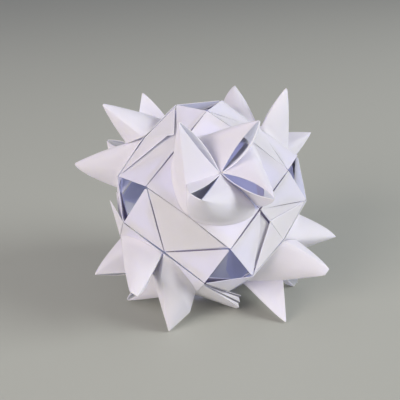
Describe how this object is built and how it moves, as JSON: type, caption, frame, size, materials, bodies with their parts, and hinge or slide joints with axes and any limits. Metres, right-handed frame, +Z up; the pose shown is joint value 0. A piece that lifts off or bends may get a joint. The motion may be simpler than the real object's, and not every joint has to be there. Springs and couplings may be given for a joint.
{
  "type": "kusudama paper ball",
  "caption": "Modular ball of folded white paper: flowers of pointed cones, joined by tucked tabs, with open triangular windows.",
  "frame": {"origin": "centre of the ball", "axes": "+Z up as the ball stands on six cone tips, along a line through two opposite windows; -Y towards the front flower"},
  "size_m": [0.138, 0.1373, 0.1133],
  "materials": {
    "white_paper": "matte, uncoated, lightly creased"
  },
  "bodies": {
    "root": {"paper_unit_01": "white_paper", "paper_unit_02": "white_paper", "paper_unit_03": "white_paper", "paper_unit_04": "white_paper", "paper_unit_05": "white_paper", "paper_unit_06": "white_paper", "paper_unit_07": "white_paper", "paper_unit_08": "white_paper", "paper_unit_09": "white_paper", "paper_unit_10": "white_paper", "paper_unit_11": "white_paper", "paper_unit_12": "white_paper"}
  },
  "joints": []
}
